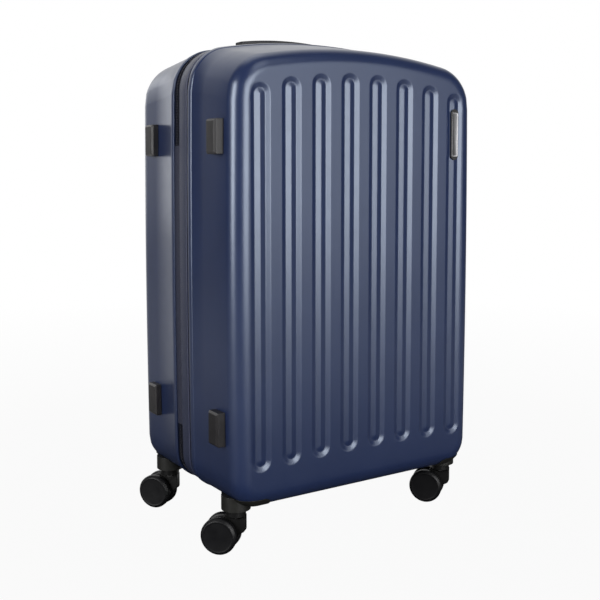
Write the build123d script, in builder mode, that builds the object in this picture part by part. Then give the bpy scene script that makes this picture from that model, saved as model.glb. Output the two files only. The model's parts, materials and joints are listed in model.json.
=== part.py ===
from build123d import *
from math import cos, radians, sin, sqrt
import os

# Hard shell spinner suitcase. +Z is up, the fluted front faces -Y, the hinge side is -X.
# The origin is on the floor, under the middle of the case. All sizes are in millimetres.

# Case body: two moulded halves with a crowned top that falls towards both faces, and bowed sides
case_width = 458.0
case_depth = 318.0
shell_bottom = 75.0
shell_top = 768.0
crown_radius = 950.0
side_bow = 3.0
top_corner_radius = 69.0
bottom_corner_radius = 47.0
edge_radius = 26.0
wall = 3.0
front_draft = 4.0
front_top_fall = 20.0
back_depth = 133.0
back_draft = 0.5
back_top_fall = 14.0
rim_width = 10.0
rim_rise = 1.2

# Flutes pressed into both faces, each with a roof-shaped ridge along its floor
flute_count = 8
flute_pitch = 52.0
flute_width = 33.0
flute_wall = 7.4
flute_depth = 3.0
ridge_rise = 2.0
flute_crown_margin = 57.0
flute_top_radius = 780.0
flute_foot = 136.0
flute_foot_radius = 3100.0

# Seam: expander zip, band, main zip and the cloth hinge on the left
expander_gap = 7.0
band_width = 25.0
main_zip_gap = 17.0
band_inset = 0.6
band_thickness = 3.4
piping_width = 3.0
tape_inset = 1.8
tape_thickness = 1.6
coil_rise = 1.2
coil_width = 2.5
zip_split = 1.4
hinge_low = 165.0
hinge_high = 607.0
hinge_inset = 1.0
hinge_box = 40.0
gusset_thickness = 1.2
gusset_length = 48.0

# Linings
lining_thickness = 1.2
lining_gap = 0.4
tube_lining_gap = 2.0
lining_headroom = 40.0
hem_depth = 1.2

# Side feet and the bare plate
foot_width = 28.0
foot_height = 50.0
foot_rise = 10.5
foot_bevel = 3.0
foot_levels = (193.0, 614.0)
front_foot_setback = 44.0
back_foot_setback = 61.0
plate_width = 15.0
plate_height = 82.0
plate_rise = 0.8
plate_level = 624.0

# Casters
swivel_side_inset = 29.0
swivel_face_inset = 45.0
trail = 23.0
wheel_radius = 27.5
wheel_width = 13.5
wheel_bevel = 1.2
wheel_dish_rim = 6.0
wheel_dish_depth = 0.8
wheel_side_gap = 0.6
web_thickness = 11.0
web_boss_radius = 13.0
web_top_width = 30.0
web_toe_radius = 6.0
web_toe_level = 38.0
axle_radius = 3.0
axle_cap = 3.0
kingpin_radius = 5.0
kingpin_head_radius = 7.5
kingpin_head_height = 2.5
kingpin_grip = 7.0
hub_radius = 15.0
hub_height = 10.0
seat_radius = 22.0
seat_bottom = 67.5
guard_thickness = 1.5
guard_reach_x = 66.0
guard_reach_y = 74.0
guard_corner = 12.0
guard_top = 89.0
caster_corners = {
    "front_left": (-1, -1, 46.0),
    "front_right": (1, -1, 51.0),
    "rear_left": (-1, 1, 53.0),
    "rear_right": (1, 1, 50.0),
}

# Telescopic handle at the back
trolley_setback = 47.0
trolley_spread = 184.0
tube_width = 24.0
tube_depth = 15.0
tube_wall = 1.3
tube_corner = 5.5
tube_bottom = 112.0
stage_tube_bottom = 300.0
top_tube_bottom = 330.0
tube_socket = 15.0
grip_length = 236.0
grip_width = 26.0
grip_corner = 9.0
grip_floor_gap = 2.0
grip_proud = 0.5
grip_relief_height = 9.0
grip_relief_length = 140.0
grip_round = 3.0
cup_depth = 33.0
cup_wall = 2.4
cup_floor = 3.0
cup_clearance = 0.8
cup_flange = 5.0
cup_flange_rise = 1.5
button_length = 46.0
button_width = 12.0
button_height = 9.0
button_corner = 4.0
button_proud = 0.8
button_travel = 3.5
bracket_length = 224.0
bracket_top = 128.0
bracket_depth = 21.0
bracket_bevel = 4.0

# Carry handles on the top and on the right side
handle_width = 22.0
handle_thickness = 8.0
leg_length = 8.0
leg_width = 14.0
leg_depth = 14.0
anchor_length = 26.0
anchor_width = 26.0
anchor_corner = 6.0
top_anchor_rise = 8.0
side_anchor_rise = 4.0
guide_wall = 2.0
handle_round = 2.5
top_handle_spread = 178.0
top_handle_rise = 19.0
top_handle_setback = 98.0
side_handle_spread = 160.0
side_handle_rise = 13.0
side_handle_setback = 63.0
side_handle_level = 420.0

# Combination lock and the two sliders of the main zip
lock_length = 68.0
lock_width = 20.0
lock_rise = 9.0
lock_level = 400.0
lock_corner = 5.0
lock_round = 2.0
dial_radius = 4.4
dial_width = 5.6
dial_pitch = 9.0
dial_count = 3
dial_sides = 10
dial_proud = 0.8
dial_shaft_radius = 1.5
release_setback = 17.0
release_length = 10.0
release_width = 8.0
release_depth = 3.0
release_proud = 1.0
release_travel = 4.0
slider_length = 20.0
slider_width = 12.0
slider_corner = 3.0
slider_plate = 1.6
slider_post = 0.8
slider_post_length = 10.0
slider_offset = 22.0
pull_length = 26.0
pull_neck = 13.0
pull_paddle = 20.8
pull_width = 9.0
pull_eye_width = 4.0
pull_thickness = 1.8
pull_pin_radius = 0.9
pull_eye_radius = 1.8
pull_standoff = 2.2
lug_width = 1.4
lug_lift = 4.0

# Clearances
seat_gap = 0.1
fixed_fit = 0.02
running_fit = 0.05
sliding_fit = 0.3
moving_gap = 0.4

# Places worked out from the sizes above
half_width = case_width / 2
front_face = -case_depth / 2
back_face = case_depth / 2
front_depth = case_depth - back_depth - expander_gap - band_width - main_zip_gap
front_lip = front_face + front_depth
band_front = front_lip + expander_gap
band_back = band_front + band_width
back_lip = back_face - back_depth
zip_middle = (band_back + back_lip) / 2
expander_middle = (front_lip + band_front) / 2
band_inner = band_inset + band_thickness
lining_inset = wall + flute_depth + lining_gap
trolley_y = back_face - trolley_setback
lining_floor = trolley_y - tube_depth / 2 - tube_lining_gap
hub_top = seat_bottom - moving_gap
hub_bottom = hub_top - hub_height
web_half = web_thickness / 2
wheel_inner = web_half + wheel_side_gap
guard_height = guard_top - seat_bottom

os.makedirs("parts", exist_ok=True)


def draft_at(y):
    """How far the sides have closed in at a depth, and how far the top has fallen besides."""
    if y < front_lip:
        share = (front_lip - y) / front_depth
        return share * front_draft, share * front_top_fall
    if y > back_lip:
        share = (y - back_lip) / back_depth
        return share * back_draft, share * back_top_fall
    return 0.0, 0.0


def crown_height(x, y, inset=0.0):
    """Height of the crowned top at a distance from the middle and at a depth."""
    draft, fall = draft_at(y)
    radius = crown_radius - draft - inset
    return shell_top - fall - draft - inset - radius + sqrt(radius**2 - x**2)


def case_outline(y, inset=0.0, headroom=0.0):
    """Front view of the case at a depth, drawn in by an even inset."""
    draft = draft_at(y)[0] + inset
    corner = half_width - draft - side_bow
    bottom = shell_bottom + inset
    top = crown_height(0, y, inset) - headroom
    shoulder = crown_height(corner, y, inset) - headroom
    middle = (shoulder + bottom) / 2
    with BuildSketch(Plane.XZ.offset(-y)) as outline:
        with BuildLine():
            ThreePointArc((-corner, shoulder), (0, top), (corner, shoulder))
            ThreePointArc((corner, shoulder), (half_width - draft, middle), (corner, bottom))
            Line((corner, bottom), (-corner, bottom))
            ThreePointArc((-corner, bottom), (draft - half_width, middle), (-corner, shoulder))
        make_face()
        fillet(outline.vertices().group_by(Axis.Y)[-1], top_corner_radius - draft)
        fillet(outline.vertices().group_by(Axis.Y)[0], bottom_corner_radius - draft)
    return outline.sketch


def case_block(front, back, inset=0.0, headroom=0.0):
    """Solid that fills the case between two depths, with the draft of its halves."""
    lips = [lip for lip in (front_lip, back_lip) if front < lip < back]
    with BuildPart() as block:
        loft([case_outline(y, inset, headroom) for y in (front, *lips, back)], ruled=True)
    return block.part


def case_half(lip, face, inset=0.0, headroom=0.0):
    """Solid half of the case from its lip to its rounded face."""
    toward_back = face > lip
    end = face - inset if toward_back else face + inset
    with BuildPart() as half:
        add(case_block(min(lip, end), max(lip, end), inset, headroom))
        face_edges = half.edges().group_by(Axis.Y)[-1 if toward_back else 0]
        fillet(face_edges, edge_radius - inset)
    return half.part


def case_ring(front, back, outer_inset, inner_inset, headroom=0.0):
    """Band that follows the outline of the case between two depths."""
    with BuildPart() as ring:
        add(case_block(front, back, outer_inset))
        add(case_block(front, back, inner_inset, headroom), mode=Mode.SUBTRACT)
    return ring.part


def flute_places():
    """Middle line and end centres of each flute."""
    end_radius = flute_width / 2
    places = []
    for index in range(flute_count):
        x = (index - (flute_count - 1) / 2) * flute_pitch
        foot = flute_foot - x**2 / (2 * flute_foot_radius)
        top = shell_top - flute_crown_margin - flute_top_radius + sqrt(flute_top_radius**2 - x**2)
        places.append((x, foot + end_radius, top - end_radius))
    return places


def flute_cutters(face, inward):
    """Recesses with sloped walls, round ends and a ridge along the floor."""
    wall_foot = flute_width / 2 - flute_wall
    floor = inward * flute_depth
    crest = inward * (flute_depth - ridge_rise)
    with BuildPart() as cutters:
        for x, low, high in flute_places():
            with BuildSketch(Plane((x, face, low))):
                with BuildLine():
                    Polyline(
                        (-flute_width / 2, 0), (-wall_foot, floor), (0, crest),
                        (wall_foot, floor), (flute_width / 2, 0), close=True,
                    )
                make_face()
            extrude(amount=high - low)
            for level, turn in ((low, 1), (high, -1)):
                with BuildSketch(Plane((x, face, level))):
                    with BuildLine():
                        Polyline(
                            (0, 0), (0, crest), (wall_foot, floor), (flute_width / 2, 0),
                            close=True,
                        )
                    make_face()
                revolve(axis=Axis((x, face, level), (0, turn, 0)), revolution_arc=180)
    return cutters.part


def flute_backs(face, inward):
    """Inner side of the flutes, which keeps the wall thickness behind each recess."""
    start = face + inward * wall / 2
    with BuildPart() as backs:
        for x, low, high in flute_places():
            middle = Plane((x, start, (low + high) / 2), x_dir=(1, 0, 0), z_dir=(0, inward, 0))
            with BuildSketch(middle):
                SlotCenterToCenter(high - low, flute_width, rotation=90)
            extrude(amount=wall / 2 + flute_depth)
    return backs.part


def case_shell(lip, face):
    """Thin fluted half with a raised rim at its lip."""
    inward = 1 if face < lip else -1
    with BuildPart() as shell:
        add(case_half(lip, face))
        rim_end = lip - inward * rim_width
        add(case_block(min(lip, rim_end), max(lip, rim_end), -rim_rise))
        add(case_half(lip, face, wall), mode=Mode.SUBTRACT)
        add(flute_backs(face, inward))
        add(flute_cutters(face, inward), mode=Mode.SUBTRACT)
    return shell.part


def tube_outline(inset):
    """Cross section of a handle tube."""
    RectangleRounded(tube_width - 2 * inset, tube_depth - 2 * inset, tube_corner - inset)


# Carry handle places, with local X along the handle and local Y away from the case
top_handle_y = back_face - top_handle_setback
side_handle_y = back_face - side_handle_setback
top_handle_level = crown_height(0, top_handle_y)
top_handle_plane = Plane((0, top_handle_y, top_handle_level), x_dir=(1, 0, 0), z_dir=(0, -1, 0))
side_handle_plane = Plane(
    (half_width, side_handle_y, side_handle_level), x_dir=(0, 0, 1), z_dir=(0, 1, 0)
)
top_anchor_drop = top_handle_level - crown_height(top_handle_spread / 2, top_handle_y)
handle_places = {
    "top": (top_handle_plane, top_handle_spread, top_handle_rise, top_anchor_rise, top_anchor_drop),
    "side": (side_handle_plane, side_handle_spread, side_handle_rise, side_anchor_rise, 0.0),
}
guide_length = leg_length + 2 * sliding_fit + 2 * guide_wall
guide_width = leg_width + 2 * sliding_fit + 2 * guide_wall
guide_depth = leg_depth + wall


def handle_end_plane(place, end):
    """Plane on top of the anchor at one end of a carry handle, facing outwards."""
    plane, spread, rise, anchor_rise, drop = handle_places[place]
    top = plane.from_local_coords((end * spread / 2, anchor_rise - drop, 0))
    return Plane(top, x_dir=plane.x_dir, z_dir=plane.y_dir)


def handle_slots(place, length, width):
    """Openings through the wall under the ends of a carry handle."""
    anchor_rise = handle_places[place][3]
    with BuildPart() as slots:
        for end in (-1, 1):
            with BuildSketch(handle_end_plane(place, end)):
                Rectangle(length, width)
            extrude(amount=-anchor_rise - guide_depth - sliding_fit)
    return slots.part


# Opening in the top of the back half for the handle cup
cup_length = grip_length + 2 * cup_clearance + 2 * cup_wall
cup_width = grip_width + 2 * cup_clearance + 2 * cup_wall
cup_corner = grip_corner + cup_clearance + cup_wall
cup_top = crown_height(0, trolley_y)
cup_bottom = cup_top - cup_depth
cup_front = trolley_y - cup_width
cup_back = trolley_y + cup_width

# Front half of the case
with BuildPart() as front_shell:
    add(case_shell(front_lip, front_face))
front_shell.part.label = "front_shell"
export_step(front_shell.part, "parts/front_shell.step")

# Back half of the case, open at the handle cup and at the carry handles
with BuildPart() as back_shell:
    add(case_shell(back_lip, back_face))
    with BuildSketch(Plane((0, trolley_y, cup_bottom))):
        RectangleRounded(
            cup_length + 2 * sliding_fit, cup_width + 2 * sliding_fit, cup_corner + sliding_fit
        )
    extrude(amount=2 * cup_depth, mode=Mode.SUBTRACT)
    for place in handle_places:
        add(
            handle_slots(place, guide_length + 2 * sliding_fit, guide_width + 2 * sliding_fit),
            mode=Mode.SUBTRACT,
        )
back_shell.part.label = "back_shell"
export_step(back_shell.part, "parts/back_shell.step")

# Linings: thin cloth tubs, the back one clear of the handle tubes
with BuildPart() as front_lining:
    add(case_half(front_lip, front_face, lining_inset))
    add(
        case_half(front_lip + lining_thickness, front_face, lining_inset + lining_thickness),
        mode=Mode.SUBTRACT,
    )
front_lining.part.label = "front_lining"
export_step(front_lining.part, "parts/front_lining.step")

lining_inner = lining_inset + lining_thickness
with BuildPart() as back_lining:
    add(case_half(back_lip, lining_floor + lining_inset, lining_inset, lining_headroom))
    add(case_ring(back_lip, back_lip + hem_depth, wall + seat_gap, lining_inner, lining_headroom))
    add(
        case_half(back_lip - hem_depth, lining_floor + lining_inset, lining_inner, lining_headroom),
        mode=Mode.SUBTRACT,
    )
    add(
        handle_slots("side", guide_length + 2 * moving_gap, guide_width + 2 * moving_gap),
        mode=Mode.SUBTRACT,
    )
back_lining.part.label = "back_lining"
export_step(back_lining.part, "parts/back_lining.step")

# Band between the two zips, with a piped front edge
with BuildPart() as seam_band:
    add(case_ring(band_front, band_back, band_inset, band_inner))
    add(case_ring(band_front, band_front + piping_width, 0, band_inner))
seam_band.part.label = "seam_band"
export_step(seam_band.part, "parts/seam_band.step")

# Folded cloth gusset, hemmed to the inside of the band and tucked inside the front lining
gusset_inset = lining_inner + moving_gap
gusset_inner = gusset_inset + gusset_thickness
gusset_back = band_back - piping_width
with BuildPart() as expander_gusset:
    add(case_ring(front_lip - gusset_length, gusset_back, gusset_inset, gusset_inner))
    add(case_ring(gusset_back - hem_depth, gusset_back, band_inner + seat_gap, gusset_inner))
expander_gusset.part.label = "expander_gusset"
export_step(expander_gusset.part, "parts/expander_gusset.step")

# Zip halves: a tape with a raised coil along its free edge
tape_inner = tape_inset + tape_thickness
coil_inset = tape_inset - coil_rise
zip_halves = {
    "expander_zip_front": (front_lip, expander_middle, 1, False),
    "expander_zip_band": (band_front, expander_middle, -1, False),
    "main_zip_band": (band_back, zip_middle, 1, True),
    "main_zip_back": (back_lip, zip_middle, -1, True),
}
for zip_name, (sewn_edge, middle, side, cut_for_hinge) in zip_halves.items():
    free_edge = middle - side * zip_split / 2
    coil_edge = free_edge - side * coil_width
    with BuildPart() as zip_half:
        add(case_ring(min(sewn_edge, free_edge), max(sewn_edge, free_edge), tape_inset, tape_inner))
        add(case_ring(min(coil_edge, free_edge), max(coil_edge, free_edge), coil_inset, tape_inner))
        if cut_for_hinge:
            with BuildSketch(Plane((-half_width, zip_middle, hinge_low))):
                Rectangle(hinge_box, hinge_box)
            extrude(amount=hinge_high - hinge_low, mode=Mode.SUBTRACT)
    zip_half.part.label = zip_name
    export_step(zip_half.part, f"parts/{zip_name}.step")

# Cloth hinge that joins the band to the back half on the left
with BuildPart() as hinge_strip:
    add(case_ring(band_back + sliding_fit, back_lip, hinge_inset, hinge_inset + tape_thickness))
    with BuildSketch(Plane((-half_width, zip_middle, hinge_low + moving_gap))):
        Rectangle(hinge_box, hinge_box)
    extrude(amount=hinge_high - hinge_low - 2 * moving_gap, mode=Mode.INTERSECT)
hinge_strip.part.label = "hinge_strip"
export_step(hinge_strip.part, "parts/hinge_strip.step")

# Feet on the hinge side, which the case lies on
for half_name, foot_y in (
    ("front", front_face + front_foot_setback),
    ("back", back_face - back_foot_setback),
):
    with BuildPart() as feet:
        for level in foot_levels:
            foot_plane = Plane(
                (-half_width - foot_rise, foot_y, level), x_dir=(0, 1, 0), z_dir=(-1, 0, 0)
            )
            with BuildSketch(foot_plane):
                Rectangle(foot_width, foot_height)
            extrude(amount=-foot_rise - 2 * side_bow - front_draft)
        chamfer(feet.faces().group_by(Axis.X)[0].edges(), foot_bevel)
        add(case_block(foot_y - foot_width, foot_y + foot_width, -seat_gap), mode=Mode.SUBTRACT)
    feet.part.label = f"{half_name}_feet"
    export_step(feet.part, f"parts/{half_name}_feet.step")

# Bare plate seated on the ridge of the last flute
plate_x = (flute_count - 1) / 2 * flute_pitch
crest_y = front_face + flute_depth - ridge_rise
with BuildPart() as name_plate:
    with BuildSketch(Plane((plate_x, crest_y, plate_level), x_dir=(1, 0, 0), z_dir=(0, -1, 0))):
        SlotOverall(plate_height, plate_width, rotation=90)
    extrude(amount=crest_y - front_face + plate_rise)
    chamfer(name_plate.faces().sort_by(Axis.Y)[0].edges(), plate_rise / 2)
name_plate.part.label = "name_plate"
export_step(name_plate.part, "parts/name_plate.step")

# Casters: corner guard with a swivel seat, fork, axle and a pair of plain discs
kingpins = {-1: [], 1: []}
for corner_name, (side_x, side_y, axle_turn) in caster_corners.items():
    face = side_y * case_depth / 2
    lip = front_lip if side_y < 0 else back_lip
    swivel_x = side_x * (half_width - swivel_side_inset)
    swivel_y = face - side_y * swivel_face_inset
    kingpins[side_y].append((swivel_x, swivel_y))
    axle_way = (sin(radians(axle_turn)), cos(radians(axle_turn)), 0)
    trail_way = (-cos(radians(axle_turn)), sin(radians(axle_turn)), 0)
    caster_plane = Plane((swivel_x, swivel_y, 0), x_dir=trail_way, z_dir=axle_way)
    axle_line = Axis((swivel_x, swivel_y, 0), axle_way)

    with BuildPart() as guard:
        add(case_half(lip, face, -guard_thickness))
        corner_foot = (side_x * half_width, face, seat_bottom)
        with BuildSketch(Plane(corner_foot, x_dir=(1, 0, 0), z_dir=(0, -1, 0))):
            RectangleRounded(2 * guard_reach_x, 2 * guard_height, guard_corner)
        extrude(amount=guard_reach_y, both=True, mode=Mode.INTERSECT)
        with BuildSketch(Plane(corner_foot, x_dir=(0, 1, 0), z_dir=(1, 0, 0))):
            RectangleRounded(2 * guard_reach_y, 2 * guard_height, guard_corner)
        extrude(amount=guard_reach_x, both=True, mode=Mode.INTERSECT)
        with BuildSketch(Plane((swivel_x, swivel_y, seat_bottom))):
            Circle(seat_radius)
        extrude(amount=guard_height)
        add(case_half(lip, face, -seat_gap), mode=Mode.SUBTRACT)
        with BuildSketch(Plane((swivel_x, swivel_y, seat_bottom))):
            Circle(kingpin_radius + fixed_fit)
        extrude(amount=kingpin_grip, mode=Mode.SUBTRACT)
    guard.part.label = f"{corner_name}_guard"
    export_step(guard.part, f"parts/{corner_name}_guard.step")

    with BuildPart() as fork:
        with BuildSketch(caster_plane):
            with Locations((trail, wheel_radius)):
                Circle(web_boss_radius)
            with Locations((web_toe_radius - web_top_width / 2, web_toe_level)):
                Circle(web_toe_radius)
            with Locations((0, hub_bottom)):
                Rectangle(web_top_width, kingpin_head_height)
            make_hull()
        extrude(amount=web_half, both=True)
        with BuildSketch(Plane((swivel_x, swivel_y, hub_bottom))):
            Circle(hub_radius)
        extrude(amount=hub_height)
        with BuildSketch(Plane((swivel_x, swivel_y, hub_bottom))):
            Circle(kingpin_radius + running_fit)
        extrude(amount=hub_height, mode=Mode.SUBTRACT)
        with BuildSketch(Plane((swivel_x, swivel_y, hub_bottom))):
            Circle(kingpin_head_radius + moving_gap)
        extrude(amount=-kingpin_head_height - 2 * moving_gap, mode=Mode.SUBTRACT)
        with BuildSketch(caster_plane):
            with Locations((trail, wheel_radius)):
                Circle(axle_radius + fixed_fit)
        extrude(amount=web_half, both=True, mode=Mode.SUBTRACT)
    fork.part.label = f"{corner_name}_fork"
    export_step(fork.part, f"parts/{corner_name}_fork.step")

    with BuildPart() as axle:
        with BuildSketch(caster_plane):
            with Locations((trail, wheel_radius)):
                Circle(axle_radius)
        extrude(amount=wheel_inner + wheel_width - axle_cap - moving_gap, both=True)
    axle.part.label = f"{corner_name}_axle"
    export_step(axle.part, f"parts/{corner_name}_axle.step")

    for wheel_name, way in (("outer", 1), ("inner", -1)):
        with BuildPart() as wheel:
            with BuildSketch(caster_plane.offset(way * wheel_inner)):
                with Locations((trail, wheel_radius)):
                    Circle(wheel_radius)
            extrude(amount=way * wheel_width)
            rims = wheel.edges().filter_by(GeomType.CIRCLE).sort_by(axle_line)
            chamfer(rims, wheel_bevel)
            with BuildSketch(caster_plane.offset(way * (wheel_inner + wheel_width))):
                with Locations((trail, wheel_radius)):
                    Circle(wheel_radius - wheel_dish_rim)
            extrude(amount=-way * wheel_dish_depth, mode=Mode.SUBTRACT)
            with BuildSketch(caster_plane.offset(way * wheel_inner)):
                with Locations((trail, wheel_radius)):
                    Circle(axle_radius + running_fit)
            extrude(amount=way * (wheel_width - axle_cap), mode=Mode.SUBTRACT)
        wheel.part.label = f"{corner_name}_wheel_{wheel_name}"
        export_step(wheel.part, f"parts/{corner_name}_wheel_{wheel_name}.step")

# Kingpins: headed pins held in the guards, which carry the forks
for half_name, side_y in (("front", -1), ("rear", 1)):
    with BuildPart() as pins:
        for pin_x, pin_y in kingpins[side_y]:
            pin_top = seat_bottom + kingpin_grip
            head_top = hub_bottom - moving_gap
            with BuildSketch(Plane((pin_x, pin_y, pin_top))):
                Circle(kingpin_radius)
            extrude(amount=head_top - pin_top)
            with BuildSketch(Plane((pin_x, pin_y, head_top))):
                Circle(kingpin_head_radius)
            extrude(amount=-kingpin_head_height)
    pins.part.label = f"{half_name}_kingpins"
    export_step(pins.part, f"parts/{half_name}_kingpins.step")

# Cup that the telescopic handle drops into, flush with the crown
tube_places = [(-trolley_spread / 2, 0), (trolley_spread / 2, 0)]
with BuildPart() as handle_cup:
    add(case_block(cup_front, cup_back, -cup_flange_rise))
    with BuildSketch(Plane((0, trolley_y, cup_bottom - cup_floor))):
        RectangleRounded(
            cup_length + 2 * cup_flange, cup_width + 2 * cup_flange, cup_corner + cup_flange
        )
    extrude(amount=2 * cup_depth, mode=Mode.INTERSECT)
    add(case_block(cup_front, cup_back, -seat_gap), mode=Mode.SUBTRACT)
    with BuildSketch(Plane((0, trolley_y, cup_bottom - cup_floor))):
        RectangleRounded(cup_length, cup_width, cup_corner)
    extrude(amount=cup_depth)
    with BuildSketch(Plane((0, trolley_y, cup_bottom))):
        RectangleRounded(
            grip_length + 2 * cup_clearance, grip_width + 2 * cup_clearance, grip_corner + cup_clearance
        )
    extrude(amount=2 * cup_depth, mode=Mode.SUBTRACT)
    with BuildSketch(Plane((0, trolley_y, cup_bottom))):
        with Locations(tube_places):
            tube_outline(-fixed_fit)
    extrude(amount=-cup_floor, mode=Mode.SUBTRACT)
handle_cup.part.label = "handle_cup"
export_step(handle_cup.part, "parts/handle_cup.step")

# Bracket on the floor of the back half that holds the tube feet
bracket_y = lining_floor + sliding_fit + bracket_depth / 2
with BuildPart() as tube_bracket:
    with BuildSketch(Plane((0, bracket_y, shell_bottom))):
        Rectangle(bracket_length, bracket_depth)
    extrude(amount=bracket_top - shell_bottom)
    chamfer(tube_bracket.edges().filter_by(Axis.Z), bracket_bevel)
    bracket_seat = case_block(bracket_y - bracket_depth, bracket_y + bracket_depth, wall + seat_gap)
    add(bracket_seat, mode=Mode.INTERSECT)
    with BuildSketch(Plane((0, trolley_y, tube_bottom))):
        with Locations(tube_places):
            tube_outline(-fixed_fit)
    extrude(amount=bracket_top - tube_bottom, mode=Mode.SUBTRACT)
tube_bracket.part.label = "tube_bracket"
export_step(tube_bracket.part, "parts/tube_bracket.step")

# Nested pairs of tubes: fixed, middle stage and top stage
stage_step = tube_wall + sliding_fit
grip_bottom = cup_bottom + grip_floor_gap
for tube_name, inset, low, high in (
    ("outer_tubes", 0.0, tube_bottom, cup_bottom),
    ("middle_tubes", stage_step, stage_tube_bottom, grip_bottom - moving_gap),
    ("top_tubes", 2 * stage_step, top_tube_bottom, grip_bottom + tube_socket),
):
    with BuildPart() as tubes:
        with BuildSketch(Plane((0, trolley_y, low))):
            with Locations(tube_places):
                tube_outline(inset)
        extrude(amount=high - low)
        with BuildSketch(Plane((0, trolley_y, low))):
            with Locations(tube_places):
                tube_outline(inset + tube_wall)
        extrude(amount=high - low, mode=Mode.SUBTRACT)
    tubes.part.label = tube_name
    export_step(tubes.part, f"parts/{tube_name}.step")

# Grip of the telescopic handle, crowned like the case, with a relief for the fingers
button_top = cup_top + grip_proud + button_proud
button_bottom = button_top - button_height
with BuildPart() as trolley_grip:
    add(case_block(cup_front, cup_back, -grip_proud))
    with BuildSketch(Plane((0, trolley_y, grip_bottom))):
        RectangleRounded(grip_length, grip_width, grip_corner)
    extrude(amount=2 * cup_depth, mode=Mode.INTERSECT)
    fillet(trolley_grip.faces().sort_by(Axis.Z)[-1].edges(), grip_round)
    with BuildSketch(Plane((0, trolley_y, grip_bottom), x_dir=(1, 0, 0), z_dir=(0, -1, 0))):
        SlotOverall(grip_relief_length, 2 * grip_relief_height)
    extrude(amount=grip_width, both=True, mode=Mode.SUBTRACT)
    with BuildSketch(Plane((0, trolley_y, grip_bottom))):
        with Locations(tube_places):
            tube_outline(2 * stage_step - fixed_fit)
    extrude(amount=tube_socket, mode=Mode.SUBTRACT)
    with BuildSketch(Plane((0, trolley_y, button_bottom - button_travel - moving_gap))):
        RectangleRounded(
            button_length + 2 * sliding_fit, button_width + 2 * sliding_fit, button_corner
        )
    extrude(amount=2 * button_height, mode=Mode.SUBTRACT)
trolley_grip.part.label = "trolley_grip"
export_step(trolley_grip.part, "parts/trolley_grip.step")

with BuildPart() as trolley_button:
    with BuildSketch(Plane((0, trolley_y, button_bottom))):
        RectangleRounded(button_length, button_width, button_corner)
    extrude(amount=button_height)
    fillet(trolley_button.faces().sort_by(Axis.Z)[-1].edges(), button_proud)
trolley_button.part.label = "trolley_button"
export_step(trolley_button.part, "parts/trolley_button.step")

# Carry handles: a bowed strap on two legs that slide in anchors set through the wall
for place, (plane, spread, rise, anchor_rise, drop) in handle_places.items():
    strap_foot = anchor_rise - drop + moving_gap + handle_thickness / 2
    strap_half = spread / 2 + leg_length / 2
    sagitta = rise - handle_thickness / 2 - strap_foot
    strap_radius = (strap_half**2 + sagitta**2) / (2 * sagitta)
    strap_middle = strap_foot + sagitta - strap_radius
    with BuildPart() as handle:
        with BuildSketch(plane):
            with BuildLine():
                arcs = []
                for radius in (strap_radius + handle_thickness / 2, strap_radius - handle_thickness / 2):
                    end_x = strap_half * radius / strap_radius
                    end_y = strap_middle + sqrt(radius**2 - end_x**2)
                    arcs.append(
                        ThreePointArc((-end_x, end_y), (0, strap_middle + radius), (end_x, end_y))
                    )
                Line(arcs[0] @ 0, arcs[1] @ 0)
                Line(arcs[0] @ 1, arcs[1] @ 1)
            make_face()
        extrude(amount=handle_width / 2, both=True)
        fillet(handle.edges().filter_by(GeomType.CIRCLE), handle_round)
        for end in (-1, 1):
            with BuildSketch(handle_end_plane(place, end).offset(moving_gap + handle_thickness / 2)):
                Rectangle(leg_length, leg_width)
            extrude(amount=-handle_thickness / 2 - moving_gap - anchor_rise - leg_depth)
    handle.part.label = f"{place}_handle"
    export_step(handle.part, f"parts/{place}_handle.step")

    anchor_y = plane.origin.Y
    with BuildPart() as anchors:
        for end in (-1, 1):
            with BuildSketch(handle_end_plane(place, end)):
                RectangleRounded(anchor_length, anchor_width, anchor_corner)
            extrude(amount=-anchor_rise - wall)
        add(case_block(anchor_y - anchor_width, anchor_y + anchor_width, -seat_gap), mode=Mode.SUBTRACT)
        for end in (-1, 1):
            with BuildSketch(handle_end_plane(place, end)):
                Rectangle(guide_length, guide_width)
            extrude(amount=-anchor_rise - guide_depth)
        slot_length = leg_length + 2 * sliding_fit
        slot_width = leg_width + 2 * sliding_fit
        add(handle_slots(place, slot_length, slot_width), mode=Mode.SUBTRACT)
    anchors.part.label = f"{place}_handle_anchors"
    export_step(anchors.part, f"parts/{place}_handle_anchors.step")

# Combination lock on the right side, behind the rim
lock_y = back_lip + rim_width + moving_gap + lock_width / 2
lock_face = half_width + lock_rise
lock_plane = Plane((lock_face, lock_y, lock_level), x_dir=(0, 0, 1), z_dir=(1, 0, 0))
dial_x = lock_face + dial_proud - dial_radius
dial_levels = [lock_level + (index + 0.5) * dial_pitch for index in range(dial_count)]
with BuildPart() as lock_body:
    with BuildSketch(lock_plane):
        RectangleRounded(lock_length, lock_width, lock_corner)
    extrude(amount=-lock_rise - side_bow)
    fillet(lock_body.faces().sort_by(Axis.X)[-1].edges(), lock_round)
    add(case_block(lock_y - lock_width, lock_y + lock_width, -seat_gap), mode=Mode.SUBTRACT)
    for level in dial_levels:
        with BuildSketch(Plane((dial_x, lock_y, level - dial_width / 2 - sliding_fit))):
            Circle(dial_radius + sliding_fit)
        extrude(amount=dial_width + 2 * sliding_fit, mode=Mode.SUBTRACT)
    with BuildSketch(Plane((dial_x, lock_y, dial_levels[0] - dial_pitch / 2))):
        Circle(dial_shaft_radius)
    extrude(amount=dial_count * dial_pitch)
    with BuildSketch(lock_plane):
        with Locations((-release_setback, 0)):
            Rectangle(
                release_length + release_travel + 2 * sliding_fit, release_width + 2 * sliding_fit
            )
    extrude(amount=-release_depth - sliding_fit, mode=Mode.SUBTRACT)
lock_body.part.label = "lock_body"
export_step(lock_body.part, "parts/lock_body.step")

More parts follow.
